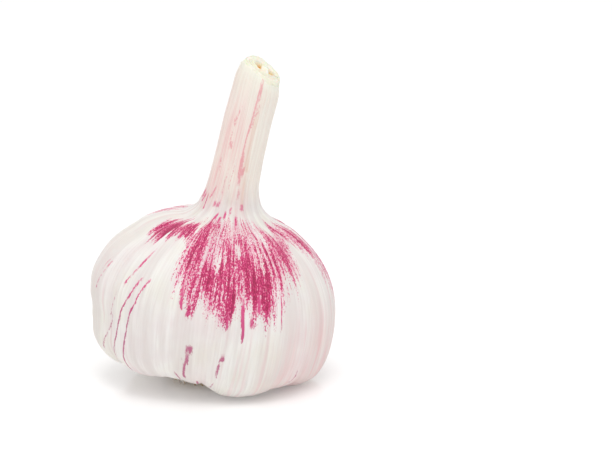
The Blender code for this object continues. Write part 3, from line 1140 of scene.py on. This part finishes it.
stalk = wrapped_sheet("cut_stalk", STALK_COLUMNS, STALK_ROWS, stalk_shape)
print("sheath and stalk faces:", len(sheaths.data.polygons), len(stalk.data.polygons))

# %% [markdown]
# Fresh-dried tissue is creamy with a green cast, whiter at the torn fibres, and golden brown down
# in the hollows, where it has dried longest.

# %% Mix the finish of the cut neck


def cut_finish(name, pale, green):
    finish = Finish(name, Subsurface_Weight=0.15, Subsurface_Scale=0.001, Specular_IOR_Level=0.4)
    spot = finish.node("ShaderNodeTexCoord", {}).outputs["Object"]
    deep = finish.attribute("deep")
    gap = finish.attribute("gap")
    cloud = finish.noise(spot, scale=420.0, detail=3.0)
    grain = finish.noise(spot, scale=2600.0, detail=2.0, roughness=0.7)
    long_spot = finish.node(
        "ShaderNodeMapping", {}, Vector=spot, Rotation=(0.0, NECK_LEAN, 0.0), Scale=(2400, 2400, 160)
    )
    fibre = finish.noise(long_spot.outputs["Vector"], detail=2.0)
    colour = finish.blend(cloud.step(0.35, 0.65), pale, green)
    colour = finish.blend(grain.step(0.55, 0.75) * 0.6, colour, srgb(250, 248, 240))
    colour = finish.blend(fibre.step(0.55, 0.75) * 0.3, colour, srgb(226, 214, 184))
    colour = finish.blend(gap * 0.30, colour, srgb(228, 218, 184))
    gold = finish.blend(cloud.step(0.4, 0.6), srgb(250, 214, 136), srgb(242, 192, 106))
    colour = finish.blend(deep * 0.9, colour, gold)
    height = 0.6 * grain + 0.6 * fibre
    return finish.done(
        Base_Color=colour, Roughness=0.5 + 0.25 * grain, Normal=finish.bump(height, 0.0002, strength=0.7)
    )


hand_over(
    sheaths,
    cut_finish("neck sheath", srgb(242, 239, 226), srgb(236, 235, 211)),
    "neck_sheath",
    "inner_sheath",
)
hand_over(
    stalk,
    cut_finish("stalk pith", srgb(250, 247, 238), srgb(243, 238, 214)),
    "flower_stalk",
    "flower_stalk",
)

# %% [markdown]
# ## The root plate
#
# Under the cloves is the bulb's true stem, squashed to a disc. Its edge is thick and corky, and
# dry roots grow from it in crowded rings, trimmed short. The disc is made by hand: a circle is
# extruded and inset into a stepped disc, then subdivided and roughened. The roots are one stub,
# made from a circle with few sides, copied some hundreds of times.

# %% Model the root plate


def turned_outline(name, sides, profile):
    """A closed disc from (radius, height) pairs in mm: a filled circle, extruded ring by ring."""
    bpy.ops.object.select_all(action="DESELECT")
    radius, height = profile[0]
    bpy.ops.mesh.primitive_circle_add(
        vertices=sides, radius=radius * MM, fill_type="NGON", location=(0, 0, height * MM)
    )
    thing = named(name)
    bpy.ops.object.transform_apply(location=True, rotation=False, scale=False)
    bpy.ops.object.mode_set(mode="EDIT")
    bpy.ops.mesh.select_all(action="SELECT")
    for next_radius, next_height in profile[1:]:
        bpy.ops.mesh.extrude_region_move(
            TRANSFORM_OT_translate={"value": (0, 0, (next_height - height) * MM)}
        )
        scale = next_radius / radius
        bpy.ops.transform.resize(
            value=(scale, scale, 1), center_override=(0, 0, next_height * MM)
        )
        radius, height = next_radius, next_height
    bpy.ops.mesh.select_all(action="SELECT")
    bpy.ops.mesh.normals_make_consistent(inside=False)
    bpy.ops.object.mode_set(mode="OBJECT")
    return thing


PLATE_SIDES = 96
# radius and height (mm), from its top in, round its corky edge and in under it
PLATE_PROFILE = (
    (8.6, 2.35),
    (9.9, 2.3),
    (10.5, 2.0),
    (10.8, 1.6),
    (10.5, 1.2),
    (9.7, 1.1),
    (9.3, 1.25),
    (8.4, 1.1),
    (7.2, 0.95),
    (6.0, 0.85),
    (4.8, 0.75),
    (3.6, 0.8),
    (2.4, 1.0),
    (1.2, 1.15),
    (0.4, 1.2),
)
plate = turned_outline("root_disc", PLATE_SIDES, PLATE_PROFILE)
print("plate faces:", len(plate.data.polygons))

# %% Roughen the root plate


def modified(thing, kind, **settings):
    """Add a modifier and apply it."""
    only(thing)
    modifier = thing.modifiers.new(kind.title(), kind)
    for label, value in settings.items():
        setattr(modifier, label, value)
    bpy.ops.object.modifier_apply(modifier=modifier.name)


def clouds(name, size):
    """A cloud pattern for a Displace modifier."""
    pattern = bpy.data.textures.new(name, "CLOUDS")
    pattern.noise_scale = size
    pattern.noise_depth = 3
    return pattern


modified(plate, "SUBSURF", levels=1, render_levels=1)
modified(plate, "DISPLACE", texture=clouds("corky", 0.0014), strength=0.0007, mid_level=0.5)
modified(plate, "DISPLACE", texture=clouds("crumbly", 0.0005), strength=0.0003, mid_level=0.5)

# %% Model the root stubs
ROOT_COUNT = 330
ROOT_RADIUS = 0.36
ROOT_SIDES = 6
# the length of each section of a stub (mm), and how much wider its end is than its start
ROOT_SECTIONS = ((0.5, 0.82), (0.5, 1.06), (0.12, 0.7))
# the roots stand in a ring: its inner radius and its width (mm)
ROOT_RING_INNER = 2.8
ROOT_RING_WIDTH = 6.2
# the heights (mm) that the stubs are cut off at, and how often each comes up
ROOT_ENDS = (0.02, 0.15, 0.35, 0.55)
ROOT_END_SHARES = (0.25, 0.3, 0.3, 0.15)
GOLDEN_ANGLE = math.pi * (3 - math.sqrt(5))
root_dice = np.random.default_rng(41)

bpy.ops.object.select_all(action="DESELECT")
bpy.ops.mesh.primitive_circle_add(
    vertices=ROOT_SIDES, radius=ROOT_RADIUS * MM, fill_type="NGON"
)
stub = named("root_stub")
bpy.ops.object.mode_set(mode="EDIT")
bpy.ops.mesh.select_all(action="SELECT")
for length, scale in ROOT_SECTIONS:
    bpy.ops.mesh.extrude_region_move(TRANSFORM_OT_translate={"value": (0, 0, -length * MM)})
    bpy.ops.transform.resize(value=(scale, scale, 1))
bpy.ops.mesh.select_all(action="SELECT")
bpy.ops.mesh.normals_make_consistent(inside=False)
bpy.ops.object.mode_set(mode="OBJECT")
stub_length = stub.dimensions.z / MM

stubs = []
for number in range(ROOT_COUNT):
    share = (number + 0.5) / ROOT_COUNT
    distance = ROOT_RING_INNER + ROOT_RING_WIDTH * share**0.75 + root_dice.uniform(-0.25, 0.25)
    turn = number * GOLDEN_ANGLE + root_dice.uniform(-0.1, 0.1)
    start = root_dice.uniform(1.1, 1.5)
    end = root_dice.choice(ROOT_ENDS, p=ROOT_END_SHARES)
    copy = stub.copy()
    copy.data = stub.data.copy()
    bpy.context.collection.objects.link(copy)
    thick = root_dice.uniform(0.6, 1.25)
    copy.scale = (thick, thick, (start - end) / stub_length)
    copy.rotation_euler = (root_dice.uniform(-0.12, 0.12), root_dice.uniform(-0.12, 0.12), turn)
    copy.location = (distance * math.cos(turn) * MM, distance * math.sin(turn) * MM, start * MM)
    stubs.append(copy)
bpy.data.objects.remove(stub)
roots = joined(stubs, "cut_roots")
bpy.ops.object.transform_apply(location=True, rotation=True, scale=True)
print("roots:", ROOT_COUNT, "faces:", len(roots.data.polygons))

# %% [markdown]
# Cork and dry root are tan and cream, with reddish brown specks where soil and old roots were.

# %% Mix the finish of the root plate


def plate_finish(name, pale, dark, rust_share):
    finish = Finish(name, Specular_IOR_Level=0.25)
    spot = finish.node("ShaderNodeTexCoord", {}).outputs["Object"]
    cloud = finish.noise(spot, scale=330.0, detail=4.0, roughness=0.6)
    grain = finish.noise(spot, scale=1900.0, detail=3.0, roughness=0.65)
    rust = finish.noise(spot, scale=760.0, detail=2.0)
    colour = finish.blend(cloud.step(0.35, 0.65), pale, dark)
    colour = finish.blend(grain.step(0.5, 0.75) * 0.5, colour, srgb(244, 236, 220))
    colour = finish.blend(rust.step(0.57, 0.68) * rust_share, colour, srgb(138, 78, 52))
    height = 0.7 * grain + 0.5 * cloud
    return finish.done(
        Base_Color=colour, Roughness=0.72 + 0.2 * grain, Normal=finish.bump(height, 0.0003, strength=0.8)
    )


hand_over(
    plate,
    plate_finish("corky plate", srgb(232, 217, 190), srgb(206, 182, 148), 0.7),
    "root_plate",
    "root_plate",
)
hand_over(
    roots, plate_finish("dry roots", srgb(226, 206, 172), srgb(190, 160, 122), 0.5), "root_plate"
)

# %% [markdown]
# ## The cloves
#
# The cloves fill the skin, and press it into lobes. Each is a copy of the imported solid, whose
# loose triangles are merged, then smoothed, and it gets the satin skin that a clove has: ivory
# with magenta veins running from the root end to the tip.

# %% Mix the finish of a clove


def clove_finish():
    finish = Finish(
        "clove skin", Subsurface_Weight=0.1, Subsurface_Scale=0.002, Coat_Weight=0.15, Coat_Roughness=0.3
    )
    spot = finish.node("ShaderNodeTexCoord", {}).outputs["Object"]
    stretched = finish.node("ShaderNodeMapping", {}, Vector=spot, Scale=(900, 900, 60))
    vein = finish.noise(stretched.outputs["Vector"], detail=3.0, roughness=0.6)
    cloud = finish.noise(spot, scale=90.0, detail=2.0)
    colour = finish.ramp(
        cloud, (0.35, srgb(240, 226, 216)), (0.52, srgb(232, 196, 200)), (0.68, srgb(206, 92, 130))
    )
    colour = finish.blend(vein.step(0.55, 0.7) * 0.5, colour, srgb(176, 44, 92))
    return finish.done(
        Base_Color=colour, Roughness=0.32 + 0.2 * vein, Normal=finish.bump(vein, 0.0001, strength=0.6)
    )


clove_skin = clove_finish()

# %% Model the cloves
CLOVE_MERGE = 0.01 * MM
for number in range(1, len(CLOVES) + 1):
    node = f"clove_{number}"
    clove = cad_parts[node].copy()
    clove.data = clove.data.copy()
    bpy.context.collection.objects.link(clove)
    clove.name = f"clove_flesh_{number}"
    merged(clove, CLOVE_MERGE)
    hand_over(clove, clove_skin, "clove", node)

# %% [markdown]
# ## The camera, the floor and the light
#
# The bulb stands on a white table that runs out of sight, in even white light with one large
# soft lamp up on the left. The table has a faint gloss, so that it shows a dim reflection.

# %% Set the camera
CAMERA_TARGET = Vector((0.0256, 0.0, 0.039))
CAMERA_DISTANCE = 0.70
CAMERA_ELEVATION = math.radians(13.0)
VIEW_WIDTH = 0.1581
SENSOR = 36.0

lens = bpy.data.cameras.new("camera")
camera = bpy.data.objects.new("camera", lens)
bpy.context.scene.collection.objects.link(camera)
towards = Vector((0.0, math.cos(CAMERA_ELEVATION), -math.sin(CAMERA_ELEVATION)))
camera.location = CAMERA_TARGET - CAMERA_DISTANCE * towards
camera.rotation_euler = towards.to_track_quat("-Z", "Y").to_euler()
lens.sensor_width = SENSOR
lens.lens = SENSOR * CAMERA_DISTANCE / VIEW_WIDTH
lens.clip_start = 0.01
bpy.context.scene.camera = camera

# %% Lay the floor
FLOOR_SIZE = 8.0
bpy.ops.object.select_all(action="DESELECT")
bpy.ops.mesh.primitive_plane_add(size=FLOOR_SIZE)
floor = named("table_top")
table = Finish(
    "white table",
    Base_Color=(0.95, 0.95, 0.95, 1.0),
    Roughness=0.06,
    Specular_IOR_Level=0.25,
    Emission_Color=(1.0, 1.0, 1.0, 1.0),
    Emission_Strength=0.11,
)
floor.data.materials.append(table.done())

# %% Light it
ROOM_LIGHT = 0.89
LAMP_PLACE = Vector((-0.03, -0.38, 0.97))
LAMP_AIM = Vector((0.0, 0.0, 0.04))
LAMP_SIZE = 0.5
LAMP_POWER = 2.9

world = bpy.data.worlds.new("white room")
bpy.context.scene.world = world
world.use_nodes = True
room = world.node_tree.nodes["Background"]
room.inputs["Color"].default_value = (1.0, 1.0, 1.0, 1.0)
room.inputs["Strength"].default_value = ROOM_LIGHT

lamp = bpy.data.lights.new("big_soft_lamp", "AREA")
lamp.shape = "SQUARE"
lamp.size = LAMP_SIZE
lamp.energy = LAMP_POWER
holder = bpy.data.objects.new("big_soft_lamp", lamp)
bpy.context.scene.collection.objects.link(holder)
holder.location = LAMP_PLACE
holder.rotation_euler = (LAMP_AIM - LAMP_PLACE).to_track_quat("-Z", "Y").to_euler()
bpy.context.scene.view_settings.view_transform = "Standard"
